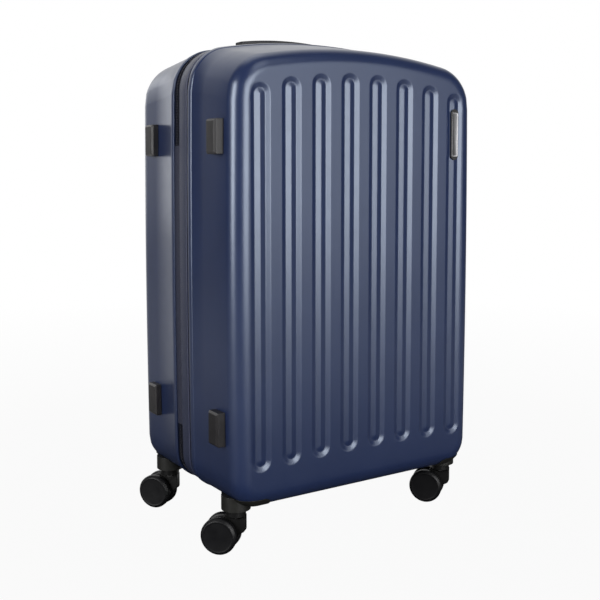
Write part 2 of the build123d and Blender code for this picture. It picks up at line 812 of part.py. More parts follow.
for index, level in enumerate(dial_levels):
    with BuildPart() as dial:
        with BuildSketch(Plane((dial_x, lock_y, level - dial_width / 2))):
            RegularPolygon(dial_radius, dial_sides)
            Circle(dial_shaft_radius + running_fit, mode=Mode.SUBTRACT)
        extrude(amount=dial_width)
    dial.part.label = f"lock_dial_{index + 1}"
    export_step(dial.part, f"parts/lock_dial_{index + 1}.step")

with BuildPart() as lock_release:
    with BuildSketch(lock_plane.offset(release_proud)):
        with Locations((-release_setback - release_travel / 2, 0)):
            Rectangle(release_length, release_width)
    extrude(amount=-release_depth - release_proud)
    chamfer(lock_release.faces().sort_by(Axis.X)[-1].edges(), release_proud / 2)
lock_release.part.label = "lock_release"
export_step(lock_release.part, "parts/lock_release.step")

# Sliders of the main zip, each with a hinged pull that hangs down
outer_plate_x = half_width - coil_inset + moving_gap
inner_plate_x = half_width - tape_inner - moving_gap
pin_x = outer_plate_x + slider_plate + pull_standoff
lug_middle = pull_eye_width / 2 + sliding_fit + lug_width / 2
for slider_name, way in (("upper", 1), ("lower", -1)):
    slider_level = lock_level + way * slider_offset
    pin_level = slider_level + lug_lift
    outer_plate = Plane((outer_plate_x, zip_middle, slider_level), x_dir=(0, 1, 0), z_dir=(1, 0, 0))
    inner_plate = Plane((inner_plate_x, zip_middle, slider_level), x_dir=(0, 1, 0), z_dir=(1, 0, 0))
    with BuildPart() as slider:
        with BuildSketch(outer_plate):
            RectangleRounded(slider_width, slider_length, slider_corner)
        extrude(amount=slider_plate)
        with BuildSketch(inner_plate):
            RectangleRounded(slider_width, slider_length, slider_corner)
        extrude(amount=-slider_plate)
        with BuildSketch(inner_plate):
            Rectangle(slider_post, slider_post_length)
        extrude(amount=outer_plate_x - inner_plate_x)
        for side in (-1, 1):
            lug_y = zip_middle + side * lug_middle
            lug_plane = Plane((pin_x, lug_y, pin_level), x_dir=(1, 0, 0), z_dir=(0, -1, 0))
            with BuildSketch(lug_plane):
                Circle(pull_eye_radius)
                with Locations((-pull_standoff / 2, 0)):
                    Rectangle(pull_standoff, 2 * pull_eye_radius)
            extrude(amount=lug_width / 2, both=True)
        with BuildSketch(Plane((pin_x, zip_middle, pin_level), x_dir=(1, 0, 0), z_dir=(0, -1, 0))):
            Circle(pull_pin_radius)
        extrude(amount=lug_middle, both=True)
    slider.part.label = f"zip_slider_{slider_name}"
    export_step(slider.part, f"parts/zip_slider_{slider_name}.step")

    pull_plane = Plane((pin_x, zip_middle, pin_level), x_dir=(1, 0, 0), z_dir=(0, -1, 0))
    with BuildPart() as pull:
        with BuildSketch(pull_plane):
            Circle(pull_eye_radius)
            with Locations((0, -pull_neck / 2)):
                Rectangle(pull_thickness, pull_neck)
        extrude(amount=pull_eye_width / 2, both=True)
        with BuildSketch(pull_plane):
            with Locations((0, pull_paddle / 2 - pull_length)):
                Rectangle(pull_thickness, pull_paddle)
        extrude(amount=pull_width / 2, both=True)
        with BuildSketch(pull_plane):
            Circle(pull_pin_radius + running_fit)
        extrude(amount=pull_eye_width, both=True, mode=Mode.SUBTRACT)
    pull.part.label = f"zip_pull_{slider_name}"
    export_step(pull.part, f"parts/zip_pull_{slider_name}.step")
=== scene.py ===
import bpy
import bmesh
import json
import math
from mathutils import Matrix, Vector

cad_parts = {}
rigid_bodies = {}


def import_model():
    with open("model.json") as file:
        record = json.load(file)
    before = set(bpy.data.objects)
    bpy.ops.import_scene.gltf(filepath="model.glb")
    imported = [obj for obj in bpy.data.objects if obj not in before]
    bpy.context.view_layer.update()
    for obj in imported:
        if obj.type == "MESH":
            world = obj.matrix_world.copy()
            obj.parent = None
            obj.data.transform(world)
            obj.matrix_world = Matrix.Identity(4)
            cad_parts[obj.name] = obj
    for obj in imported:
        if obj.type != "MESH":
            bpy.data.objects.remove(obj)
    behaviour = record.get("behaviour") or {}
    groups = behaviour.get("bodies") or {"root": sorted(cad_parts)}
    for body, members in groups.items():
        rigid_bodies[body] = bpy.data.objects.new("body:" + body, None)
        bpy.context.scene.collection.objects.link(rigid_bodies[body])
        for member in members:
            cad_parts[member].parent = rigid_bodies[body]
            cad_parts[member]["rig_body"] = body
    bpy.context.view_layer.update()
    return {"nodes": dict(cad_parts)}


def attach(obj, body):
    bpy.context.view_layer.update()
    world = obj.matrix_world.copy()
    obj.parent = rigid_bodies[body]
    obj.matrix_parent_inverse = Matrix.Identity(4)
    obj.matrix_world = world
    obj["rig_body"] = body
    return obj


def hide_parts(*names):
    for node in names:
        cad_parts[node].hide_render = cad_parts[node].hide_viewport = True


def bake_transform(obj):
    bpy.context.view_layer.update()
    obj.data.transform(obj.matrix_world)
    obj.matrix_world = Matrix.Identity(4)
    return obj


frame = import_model()
cadNodes = frame["nodes"]
scene = bpy.context.scene
mm = 0.001
print("frame loaded with", len(cadNodes), "nodes")


# Small tools for node trees

def addNode(tree, kind, inputs=None, **settings):
    node = tree.nodes.new(kind)
    for key, value in settings.items():
        setattr(node, key, value)
    for key, value in (inputs or {}).items():
        node.inputs[key].default_value = value
    return node


def coordsOf(tree, kind):
    return addNode(tree, "ShaderNodeTexCoord").outputs[kind]


def combine(tree, operation, first, second):
    node = addNode(tree, "ShaderNodeMath", operation=operation)
    tree.links.new(first, node.inputs[0])
    tree.links.new(second, node.inputs[1])
    return node.outputs[0]


def rangeNode(tree, value, low, high, first=0.0, last=1.0):
    # first and last are numbers or outputs of other nodes
    node = addNode(tree, "ShaderNodeMapRange", {"From Min": low, "From Max": high})
    tree.links.new(value, node.inputs["Value"])
    for key, end in (("To Min", first), ("To Max", last)):
        if isinstance(end, (int, float)):
            node.inputs[key].default_value = end
        else:
            tree.links.new(end, node.inputs[key])
    return node.outputs["Result"]


def noiseFrom(tree, coords, scale, detail, **inputs):
    noise = addNode(tree, "ShaderNodeTexNoise", {"Scale": scale, "Detail": detail, **inputs})
    tree.links.new(coords, noise.inputs["Vector"])
    return noise.outputs["Fac"]


# Finishes

finishForm = {
    "noiseSpan": (0.3, 0.7),  # most of a noise texture lies between these
    "driftScale": 14.0, "glossScale": 60.0, "poreRoughness": 0.6,  # moulded plastic
    "threadWander": 0.4, "slubScale": 220.0, "weaveSpan": (0.35, 0.85), "weaveBump": 0.8,  # woven cloth
    "alongGrain": 20.0, "acrossGrain": 900.0,  # brushed metal
    "drawnTint": 1.0, "drawnGloss": 2.0, "scratchScale": 3.0, "scratchBump": 0.25, "scratchDepth": 0.05,
}


def startMaterial(name, color, roughness, **sockets):
    material = bpy.data.materials.new(name)
    material.use_nodes = True
    tree = material.node_tree
    shader = tree.nodes["Principled BSDF"]
    shader.inputs["Base Color"].default_value = (*color, 1)
    shader.inputs["Roughness"].default_value = roughness
    for key, value in sockets.items():
        shader.inputs[key.replace("_", " ")].default_value = value
    return material, tree, shader


def tintBy(tree, shader, value, span, dark, light):
    # base colour that goes from dark to light as a value rises through a span
    ramp = addNode(tree, "ShaderNodeValToRGB")
    for stop, place, color in zip(ramp.color_ramp.elements, span, (dark, light)):
        stop.position = place
        stop.color = (*color, 1)
    tree.links.new(value, ramp.inputs["Fac"])
    tree.links.new(ramp.outputs["Color"], shader.inputs["Base Color"])


def tintByNoise(tree, shader, coords, scale, dark, light):
    # slow colour drift over a surface
    tintBy(tree, shader, noiseFrom(tree, coords, scale, 4.0), finishForm["noiseSpan"], dark, light)


def glossByNoise(tree, shader, coords, scale, low, high):
    # roughness that wanders between two values
    gloss = rangeNode(tree, noiseFrom(tree, coords, scale, 3.0), *finishForm["noiseSpan"], low, high)
    tree.links.new(gloss, shader.inputs["Roughness"])


def bumpFrom(tree, shader, height, strength, depth):
    bump = addNode(tree, "ShaderNodeBump", {"Strength": strength, "Distance": depth * mm})
    tree.links.new(height, bump.inputs["Height"])
    tree.links.new(bump.outputs["Normal"], shader.inputs["Normal"])


def mouldedPlastic(name, dark, light, gloss, grain, depth, **sockets):
    material, tree, shader = startMaterial(name, light, gloss[1], **sockets)
    coords = coordsOf(tree, "Object")
    tintByNoise(tree, shader, coords, finishForm["driftScale"], dark, light)
    glossByNoise(tree, shader, coords, finishForm["glossScale"], *gloss)
    pores = noiseFrom(tree, coords, 1 / (grain * mm), 2.0, Roughness=finishForm["poreRoughness"])
    bumpFrom(tree, shader, pores, 1.0, depth)
    return material


def wovenCloth(name, dark, light, gloss, thread, depth, **sockets):
    # two crossed sets of threads, laid on the piece's own UV map in metres
    material, tree, shader = startMaterial(name, light, gloss, **sockets)
    coords = coordsOf(tree, "UV")
    scale = math.pi / (10 * thread * mm)  # one wave per two threads
    threads = []
    for direction in ("X", "Y"):
        wave = addNode(tree, "ShaderNodeTexWave",
                       {"Scale": scale, "Distortion": finishForm["threadWander"], "Detail": 1.0},
                       bands_direction=direction)
        tree.links.new(coords, wave.inputs["Vector"])
        threads.append(wave.outputs["Fac"])
    cross = combine(tree, "MULTIPLY", *threads)
    lift = combine(tree, "ADD", cross, noiseFrom(tree, coords, finishForm["slubScale"], 3.0))
    tintBy(tree, shader, lift, finishForm["weaveSpan"], dark, light)
    bumpFrom(tree, shader, cross, finishForm["weaveBump"], depth)
    return material


def brushedMetal(name, dark, light, gloss, lengthAxis):
    material, tree, shader = startMaterial(name, light, gloss[1], Metallic=1.0)
    scales = [finishForm["alongGrain" if axis == lengthAxis else "acrossGrain"] for axis in "XYZ"]
    stretch = addNode(tree, "ShaderNodeMapping", {"Scale": scales})
    tree.links.new(coordsOf(tree, "Object"), stretch.inputs["Vector"])
    drawn = stretch.outputs["Vector"]
    tintByNoise(tree, shader, drawn, finishForm["drawnTint"], dark, light)
    glossByNoise(tree, shader, drawn, finishForm["drawnGloss"], *gloss)
    scratch = noiseFrom(tree, drawn, finishForm["scratchScale"], 2.0)
    bumpFrom(tree, shader, scratch, finishForm["scratchBump"], finishForm["scratchDepth"])
    return material


# dark and light colour, least and most roughness, grain in mm, grain depth in mm
navyShell = mouldedPlastic("navyShell", (0.011, 0.020, 0.064), (0.013, 0.023, 0.071),
                           (0.28, 0.31), 0.6, 0.0003,
                           Specular_IOR_Level=1.0, Specular_Tint=(0.78, 0.87, 1.0, 1.0))
blackPlastic = mouldedPlastic("blackPlastic", (0.010, 0.010, 0.010), (0.017, 0.017, 0.017),
                              (0.36, 0.50), 0.45, 0.03)
footPlastic = mouldedPlastic("footPlastic", (0.006, 0.005, 0.006), (0.019, 0.017, 0.018),
                             (0.34, 0.46), 0.9, 0.05)
guardPlastic = mouldedPlastic("guardPlastic", (0.008, 0.008, 0.007), (0.013, 0.013, 0.011),
                              (0.40, 0.52), 0.6, 0.02)
casterPlastic = mouldedPlastic("casterPlastic", (0.004, 0.004, 0.004), (0.007, 0.007, 0.007),
                               (0.34, 0.46), 0.6, 0.01, Specular_IOR_Level=0.35)
wheelRubber = mouldedPlastic("wheelRubber", (0.003, 0.003, 0.004), (0.006, 0.006, 0.007),
                             (0.38, 0.50), 0.8, 0.01, Specular_IOR_Level=0.35)
handleRubber = mouldedPlastic("handleRubber", (0.012, 0.012, 0.014), (0.020, 0.020, 0.023),
                              (0.38, 0.50), 0.5, 0.03)
buttonPlastic = mouldedPlastic("buttonPlastic", (0.10, 0.10, 0.11), (0.14, 0.14, 0.15),
                               (0.35, 0.45), 0.5, 0.02)
coilNylon = mouldedPlastic("coilNylon", (0.004, 0.005, 0.012), (0.009, 0.011, 0.024),
                           (0.30, 0.42), 0.8, 0.01)
threadNylon = mouldedPlastic("threadNylon", (0.020, 0.024, 0.050), (0.034, 0.040, 0.076),
                             (0.45, 0.60), 0.4, 0.05)
# dark and light colour, roughness, thread in mm, weave depth in mm
bandCloth = wovenCloth("bandCloth", (0.010, 0.014, 0.038), (0.020, 0.027, 0.064),
                       0.40, 0.5, 0.06, Specular_IOR_Level=0.8)
pipingCloth = wovenCloth("pipingCloth", (0.030, 0.036, 0.078), (0.056, 0.064, 0.120), 0.36, 0.4, 0.05)
zipCloth = wovenCloth("zipCloth", (0.002, 0.002, 0.005), (0.005, 0.006, 0.013),
                      0.70, 0.4, 0.10, Specular_IOR_Level=0.2)
hingeCloth = wovenCloth("hingeCloth", (0.012, 0.014, 0.030), (0.024, 0.027, 0.052), 0.60, 0.6, 0.12)
liningCloth = wovenCloth("liningCloth", (0.050, 0.053, 0.064), (0.110, 0.116, 0.134),
                         0.50, 0.6, 0.10, Sheen_Weight=0.2)
# dark and light colour, least and most roughness, axis that the metal is drawn along
tubeMetal = brushedMetal("tubeMetal", (0.55, 0.56, 0.58), (0.68, 0.69, 0.71), (0.24, 0.34), "Z")
plateMetal = brushedMetal("plateMetal", (0.17, 0.17, 0.175), (0.26, 0.26, 0.265), (0.30, 0.42), "Z")
plateRim = brushedMetal("plateRim", (0.46, 0.46, 0.47), (0.60, 0.60, 0.61), (0.22, 0.30), "Z")
zipMetal = brushedMetal("zipMetal", (0.16, 0.16, 0.17), (0.24, 0.24, 0.25), (0.25, 0.35), "Z")
pinSteel = brushedMetal("pinSteel", (0.45, 0.45, 0.46), (0.58, 0.58, 0.60), (0.25, 0.35), "Y")
print("finishes made")


# Pieces and how they take the place of CAD nodes

# edges of rigid pieces: distances in mm, angles in degrees
edgeForm = {"weld": 0.005, "flatAngle": 0.5, "sharpAngle": 30, "roundAngle": 32, "roundSteps": 2}


def inMetres(spots):
    return [(x * mm, y * mm, z * mm) for x, y, z in spots]


def addObject(name, data):
    holder = bpy.data.objects.new(name, data)
    scene.collection.objects.link(holder)
    return holder


def smoothMesh(mesh, sharpAngle=None):
    mesh.polygons.foreach_set("use_smooth", [True] * len(mesh.polygons))
    if sharpAngle:
        mesh.set_sharp_from_angle(angle=math.radians(sharpAngle))


def newPiece(name, verts, faces, material, uvs=None, sharpAngle=None):
    mesh = bpy.data.meshes.new(name)
    mesh.from_pydata(inMetres(verts), [], faces)
    mesh.materials.append(material)
    if uvs:
        layer = mesh.uv_layers.new(name="UVMap")
        for polygon in mesh.polygons:
            for loop, uv in zip(polygon.loop_indices, uvs[polygon.index]):
                layer.data[loop].uv = uv
    bm = bmesh.new()
    bm.from_mesh(mesh)
    bmesh.ops.recalc_face_normals(bm, faces=bm.faces)
    bm.to_mesh(mesh)
    bm.free()
    smoothMesh(mesh, sharpAngle)
    return addObject(name, mesh)


def seat(piece, body, slotName, *replaced):
    if replaced:
        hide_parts(*replaced)
    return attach(piece, body)


def softCopy(node, name, material, edge, slotName):
    # copy of a rigid node with its edges broken by a small round
    mesh = cadNodes[node].data.copy()
    mesh.name = name
    if "custom_normal" in mesh.attributes:
        mesh.attributes.remove(mesh.attributes["custom_normal"])
    bm = bmesh.new()
    bm.from_mesh(mesh)
    bmesh.ops.remove_doubles(bm, verts=bm.verts, dist=edgeForm["weld"] * mm)
    flat = math.radians(edgeForm["flatAngle"])
    bmesh.ops.dissolve_limit(bm, angle_limit=flat, verts=bm.verts, edges=bm.edges)
    bm.to_mesh(mesh)
    bm.free()
    mesh.materials.clear()
    mesh.materials.append(material)
    smoothMesh(mesh, edgeForm["sharpAngle"])
    piece = addObject(name, mesh)
    bevel = piece.modifiers.new("edges", "BEVEL")
    bevel.width = edge * mm
    bevel.segments = edgeForm["roundSteps"]
    bevel.limit_method = "ANGLE"
    bevel.angle_limit = math.radians(edgeForm["roundAngle"])
    bevel.use_clamp_overlap = False
    bevel.harden_normals = True
    return seat(piece, cadNodes[node]["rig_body"], slotName, node)


def camelName(node):
    first, *rest = node.split("_")
    return first + "".join(word.capitalize() for word in rest)


def middleOf(node):
    # middle of a CAD node's box in mm
    corners = cadNodes[node].bound_box
    return sum((Vector(corner) for corner in corners), Vector()) / len(corners) / mm


# Outline of the case in front view, made of arcs that change with the depth

caseForm = {
    "halfWidth": 229.0, "sideBow": 3.0, "bottom": 75.0, "top": 768.0, "crownRadius": 950.0,
    "topCorner": 69.0, "bottomCorner": 47.0, "edgeRadius": 26.0, "wall": 3.0,
    "frontFace": -159.0, "frontLip": -23.0, "backLip": 26.0, "backFace": 159.0,
    "frontDraft": 4.0, "frontFall": 20.0, "backDraft": 0.5, "backFall": 14.0,
    "rimWidth": 10.0, "rimRise": 1.2,
}
# steps along half of the outline: crown, top corner, side, bottom corner, straight bottom
trackSteps = {"seam": (34, 16, 96, 14, 28), "hinge": (34, 16, 180, 14, 28), "lining": (24, 14, 40, 12, 20)}
crownMiddle, sideTop, sideFoot, bottomMiddle = 0.0, 2.0, 3.0, 5.0  # places, one unit to a part


def draftAt(y):
    # how far the sides have closed in at a depth, and how far the top has fallen besides
    frontLip, backLip = caseForm["frontLip"], caseForm["backLip"]
    if y < frontLip:
        share = (frontLip - y) / (frontLip - caseForm["frontFace"])
        return share * caseForm["frontDraft"], share * caseForm["frontFall"]
    if y > backLip:
        share = (y - backLip) / (caseForm["backFace"] - backLip)
        return share * caseForm["backDraft"], share * caseForm["backFall"]
    return 0.0, 0.0


def circleMeeting(centerA, radiusA, centerB, radiusB):
    # right-hand upper meeting point of two circles
    gap = centerB - centerA
    along = (radiusA ** 2 - radiusB ** 2 + gap.length_squared) / (2 * gap.length)
    across = math.sqrt(radiusA ** 2 - along ** 2)
    way = gap.normalized()
    spots = [centerA + way * along + Vector((-way.y, way.x)) * side for side in (across, -across)]
    return max(spots, key=lambda spot: (spot.x > 0, spot.y))


def outlineArcs(y, headroom=0.0):
    # centre, radius, first and last angle of the arcs on the right, from the crown to the bottom
    draft, fall = draftAt(y)
    half, bow, bottom = caseForm["halfWidth"] - draft, caseForm["sideBow"], caseForm["bottom"]
    crownRadius = caseForm["crownRadius"] - draft
    crown = Vector((0.0, caseForm["top"] - fall - headroom - caseForm["crownRadius"]))
    shoulder = crown.y + math.sqrt(crownRadius ** 2 - (half - bow) ** 2)
    rise = (shoulder - bottom) / 2
    sideRadius = (rise ** 2 + bow ** 2) / (2 * bow)
    side = Vector((half - sideRadius, bottom + rise))
    topRadius, lowRadius = caseForm["topCorner"] - draft, caseForm["bottomCorner"] - draft
    top = circleMeeting(crown, crownRadius - topRadius, side, sideRadius - topRadius)
    lowZ = bottom + lowRadius
    low = Vector((side.x + math.sqrt((sideRadius - lowRadius) ** 2 - (lowZ - side.y) ** 2), lowZ))
    crownEnd = math.atan2(top.y - crown.y, top.x)
    sideStart = math.atan2(top.y - side.y, top.x - side.x)
    sideEnd = math.atan2(low.y - side.y, low.x - side.x)
    return ((crown, crownRadius, math.pi / 2, crownEnd), (top, topRadius, crownEnd, sideStart),
            (side, sideRadius, sideStart, sideEnd), (low, lowRadius, sideEnd, -math.pi / 2))


def outlineSpot(arcs, u, side=1):
    # spot and outward way at a place on the outline
    part = min(int(u), len(arcs))
    share = u - part
    if part == len(arcs):  # straight bottom
        spot, way = Vector((arcs[-1][0].x * (1 - share), caseForm["bottom"])), Vector((0.0, -1.0))
    else:
        center, radius, first, last = arcs[part]
        angle = first + (last - first) * share
        way = Vector((math.cos(angle), math.sin(angle)))
        spot = center + way * radius
    return Vector((side * spot.x, spot.y)), Vector((side * way.x, way.y))


def caseTrack(kind):
    # places round the whole outline, clockwise from the crown's middle
    right = [part + step / steps for part, steps in enumerate(trackSteps[kind]) for step in range(steps)]
    right.append(bottomMiddle)
    return [(u, 1) for u in right] + [(u, -1) for u in reversed(right[1:-1])]


def ringAt(track, y, inset, headroom=0.0):
    arcs = outlineArcs(y, headroom)
    ring = []
    for u, side in track:
        spot, way = outlineSpot(arcs, u, side)
        place = spot - way * inset
        ring.append((place.x, y, place.y))
    return ring


def runAlong(ring):
    # distance in metres from the first spot to each spot and back to the first
    run = [0.0]
    for index, spot in enumerate(ring):
        run.append(run[-1] + math.dist(spot, ring[(index + 1) % len(ring)]) * mm)
    return run


def sweep(name, track, profile, material, closed=True):
    # closed profile of (inset, y) carried along the outline, with a UV map in metres
    count, size = len(track), len(profile)
    rings = [ringAt(track, y, inset) for inset, y in profile]
    run = runAlong(rings[0])
    climb = runAlong(profile)
    faces, uvs = [], []
    for i in range(count if closed else count - 1):
        after = (i + 1) % count
        for j in range(size):
            above = (j + 1) % size
            faces.append((j * count + i, j * count + after, above * count + after, above * count + i))
            uvs.append(((run[i], climb[j]), (run[i + 1], climb[j]),
                        (run[i + 1], climb[j + 1]), (run[i], climb[j + 1])))
    if not closed:
        for i in (0, count - 1):
            faces.append([j * count + i for j in range(size)])
            uvs.append([(run[i], climb[j]) for j in range(size)])
    return newPiece(name, [spot for ring in rings for spot in ring], faces, material, uvs, sharpAngle=40)


# Fluted halves of the case

fluteForm = {
    "count": 8, "pitch": 52.0, "width": 33.0, "wall": 7.4, "depth": 3.0, "ridge": 2.0,
    "crownMargin": 57.0, "topRadius": 780.0, "foot": 136.0, "footRadius": 3100.0, "softness": 0.5,
}
softSteps = (-1, -0.5, 0, 0.5, 1)  # shares of the softness over which a crease is spread
# distances from a flute's middle line at which the face has a column of points
fluteColumns = (0, 0.4, 1.0, 2.6, 4.6, 6.6, 7.9, 8.6, 9.1, 9.6, 10.4, 11.8, 13.2, 14.6, 15.6, 16.2, 16.7,
                17.3, 18.4, 20.6, 23.6, 26.0)
# distances of the rows of points from the upper and lower edge of the flat face
upperRows = [0, 3, 6, 8] + [8 + 1.3 * row for row in range(1, 24)]
lowerRows = [0, 8, 16, 23] + [23 + 1.3 * row for row in range(1, 26)]
middleRows = 18
borderGap = 0.6  # least distance from a column to the face's left or right border
edgeTurns, innerTurns = 12, 5  # steps round the edge, outside and inside
halvings = 36  # steps of a search along the outline
plainStops = (0.4, 0.65)  # shares of the depth at which a wall without a hole has a ring
# raised rim: distance from its foot or from the lip, and share of its rise
rimFoot = ((-0.9, 0.0), (-0.5, 0.12), (0.0, 0.5), (0.4, 0.88), (0.9, 1.0))
rimLip = ((-0.8, 1.0), (-0.25, 0.85), (0.0, 0.4))


def fluteProfile(distance):
    half = fluteForm["width"] / 2
    foot = half - fluteForm["wall"]
    if distance >= half:
        return 0.0
    if distance >= foot:
        return fluteForm["depth"] * (half - distance) / fluteForm["wall"]
    return fluteForm["depth"] - fluteForm["ridge"] * (1 - distance / foot)


def fluteSink(x, z):
    # how far the face is pressed in at a point, with slightly softened creases
    pitch, half, last = fluteForm["pitch"], fluteForm["width"] / 2, fluteForm["count"] // 2
    middle = (min(max(round(x / pitch - 0.5), -last), last - 1) + 0.5) * pitch
    radius = fluteForm["topRadius"]
    low = fluteForm["foot"] - middle ** 2 / (2 * fluteForm["footRadius"]) + half
    high = caseForm["top"] - fluteForm["crownMargin"] - radius + math.sqrt(radius ** 2 - middle ** 2) - half
    distance = math.hypot(x - middle, z - min(max(z, low), high))
    spread = fluteForm["softness"]
    return sum(fluteProfile(abs(distance + spread * step)) for step in softSteps) / len(softSteps)


def startHalf(lip, face):
    return {"face": face, "depth": abs(lip - face), "inward": 1 if face < lip else -1,
            "faceArcs": outlineArcs(face), "lipArcs": outlineArcs(lip)}


def edgeAt(half, u):
    # outline at the face and at the lip, outward way, slope of the wall, and where the flat face ends
    spot, way = outlineSpot(half["faceArcs"], u)
    end = outlineSpot(half["lipArcs"], u)[0]
    slope = (end - spot).dot(way) / half["depth"]
    reach = caseForm["edgeRadius"] * (slope - math.sqrt(1 + slope ** 2))
    return {"spot": spot, "end": end, "way": way, "slope": slope, "reach": reach, "flat": spot + way * reach}


def edgeWhere(half, axis, target, low, high):
    # place on the outline at which the flat face's edge has a given x (0) or z (1)
    falling = edgeAt(half, low)["flat"][axis] > edgeAt(half, high)["flat"][axis]
    for step in range(halvings):
        middle = (low + high) / 2
        if (edgeAt(half, middle)["flat"][axis] > target) == falling:
            low = middle
        else:
            high = middle
    return low


def edgeRound(half, edge, side, share, inset=0.0):
    # spot on the rounded edge between the flat face and the wall
    angle = (math.pi / 2 - math.atan(edge["slope"])) * share
    radius = caseForm["edgeRadius"] - inset
    place = edge["spot"] + edge["way"] * (edge["reach"] + radius * math.sin(angle))
    depth = caseForm["edgeRadius"] - radius * math.cos(angle)
    return (side * place.x, half["face"] + half["inward"] * depth, place.y)


def wallSpot(half, edge, side, depth, lift):
    place = edge["spot"].lerp(edge["end"], depth / half["depth"]) + edge["way"] * lift
    return (side * place.x, half["face"] + half["inward"] * depth, place.y)


def faceGrid(half):
    # points of the fluted face in columns, and the place on the outline of each point at its border
    columns = set()
    for index in range(fluteForm["count"]):
        middle = (index - (fluteForm["count"] - 1) / 2) * fluteForm["pitch"]
        for reach in fluteColumns:
            columns.update((round(middle + reach, 3), round(middle - reach, 3)))
    limit = min(edgeAt(half, sideTop)["flat"].x, edgeAt(half, sideFoot)["flat"].x) - borderGap
    stations = [None] + sorted(x for x in columns if abs(x) < limit) + [None]  # None stands for a border
    verts, border = [], {}
    for number, x in enumerate(stations):
        side = -1 if (number == 0 or (x or 0) < 0) else 1
        high, low = sideTop, sideFoot
        if x is not None:
            high = edgeWhere(half, 0, abs(x), crownMiddle, sideTop)
            low = edgeWhere(half, 0, abs(x), sideFoot, bottomMiddle)
        zTop, zLow = edgeAt(half, high)["flat"].y, edgeAt(half, low)["flat"].y
        rows = [zTop - drop for drop in upperRows]
        foot = [zLow + rise for rise in reversed(lowerRows)]
        rows += [rows[-1] + (foot[0] - rows[-1]) * row / middleRows for row in range(1, middleRows)] + foot
        for step, z in enumerate(rows):
            atEnd = step in (0, len(rows) - 1)
            u = high if step == 0 else low
            place = x
            if x is None:
                u = u if atEnd else edgeWhere(half, 1, z, sideTop, sideFoot)
                place = side * edgeAt(half, u)["flat"].x
            if x is None or atEnd:
                border[len(verts)] = (u, side)
            verts.append((place, half["face"] + half["inward"] * fluteSink(place, z), z))
    return verts, border, len(stations), len(rows)


def wallStops(half, hole):
    # depth and lift of the rings down the outside of the wall, over the rim and up the inside
    depth, rise = half["depth"], caseForm["rimRise"]
    rim = depth - caseForm["rimWidth"]
    plain = [depth * share for share in plainStops]
    if hole:
        plain = sorted(abs(half["face"] - y) for y in hole["y"])
    stops = [(stop, 0.0) for stop in plain]
    stops += [(rim + along, share * rise) for along, share in rimFoot]
    stops += [(depth + along, share * rise) for along, share in rimLip]
    return stops + [(stop, -caseForm["wall"]) for stop in (depth, *reversed(plain))]


def inHole(hole, spots):
    # whether the middle of some spots lies in a hole through the top
    if not hole:
        return False
    x, y, z = (sum(spot[axis] for spot in spots) / len(spots) for axis in range(3))
    return abs(x) < hole["x"] and hole["y"][0] < y < hole["y"][1] and z > hole["above"]


def mouldHalf(name, lip, face, hole=None):
    half = startHalf(lip, face)
    verts, border, wide, high = faceGrid(half)
    faces = [(i * high + j, i * high + j + 1, (i + 1) * high + j + 1, (i + 1) * high + j)
             for i in range(wide - 1) for j in range(high - 1)]
    order = [i * high for i in range(wide)] + [(wide - 1) * high + j for j in range(1, high)]
    order += [i * high + high - 1 for i in range(wide - 2, -1, -1)] + list(range(high - 2, 0, -1))
    edges = [(edgeAt(half, border[vertex][0]), border[vertex][1]) for vertex in order]
    wall = caseForm["wall"]
    rings = [[edgeRound(half, edge, side, turn / edgeTurns) for edge, side in edges]
             for turn in range(1, edgeTurns + 1)]
    rings += [[wallSpot(half, edge, side, stop, lift) for edge, side in edges]
              for stop, lift in wallStops(half, hole)]
    rings += [[edgeRound(half, edge, side, turn / innerTurns, wall) for edge, side in edges]
              for turn in range(innerTurns, -1, -1)]
    inner = wall + fluteForm["depth"]  # the inside stays clear of the flutes
    rings.append([wallSpot(half, edge, side, inner, edge["reach"] - inner) for edge, side in edges])
    ring = order
    for spots in rings:
        newRing = list(range(len(verts), len(verts) + len(order)))
        verts += spots
        for index in range(len(order)):
            after = (index + 1) % len(order)
            quad = (ring[index], ring[after], newRing[after], newRing[index])
            if not inHole(hole, [verts[vertex] for vertex in quad]):
                faces.append(quad)
        ring = newRing
    faces.append(tuple(ring))
    return newPiece(name, verts, faces, navyShell)


cupHole = {"x": 121.6, "y": (96.5, 127.5), "above": 600.0}
frontHalf = mouldHalf("frontHalf", caseForm["frontLip"], caseForm["frontFace"])
seat(frontHalf, "front_case", "navy_shell", "front_shell")
backHalf = mouldHalf("backHalf", caseForm["backLip"], caseForm["backFace"], cupHole)
seat(backHalf, "back_case", "navy_shell", "back_shell")
print("shell halves moulded")


# Rigid pieces that keep their CAD shape and get broken edges

rigidPieces = [
    # CAD nodes, finish, edge round in mm, slot
    (("front_feet", "back_feet"), footPlastic, 0.7, "black_plastic"),
    (("front_left_guard", "front_right_guard", "rear_left_guard", "rear_right_guard"),
     guardPlastic, 0.4, "black_plastic"),
    (("handle_cup", "top_handle_anchors", "side_handle_anchors", "lock_body", "tube_bracket", "name_plate"),
     blackPlastic, 0.4, "black_plastic"),
    (("trolley_grip", "top_handle", "side_handle"), handleRubber, 0.5, "handle_rubber"),
    (("trolley_button", "lock_release"), buttonPlastic, 0.3, "button_plastic"),
    (("outer_tubes", "middle_tubes", "top_tubes"), tubeMetal, 0.15, "tube_metal"),
    (("zip_slider_upper", "zip_slider_lower", "zip_pull_upper", "zip_pull_lower"),
     zipMetal, 0.25, "zip_metal"),
    (("lock_dial_1", "lock_dial_2", "lock_dial_3"), casterPlastic, 0.2, "black_plastic"),
    (("front_kingpins", "rear_kingpins"), pinSteel, 0.3, "pin_steel"),
]
for names, finish, edge, slotName in rigidPieces:
    for node in names:
        softCopy(node, camelName(node), finish, edge, slotName)
print("rigid pieces placed")


# Casters: forks and axles from the CAD, wheels turned with a chamfered rim

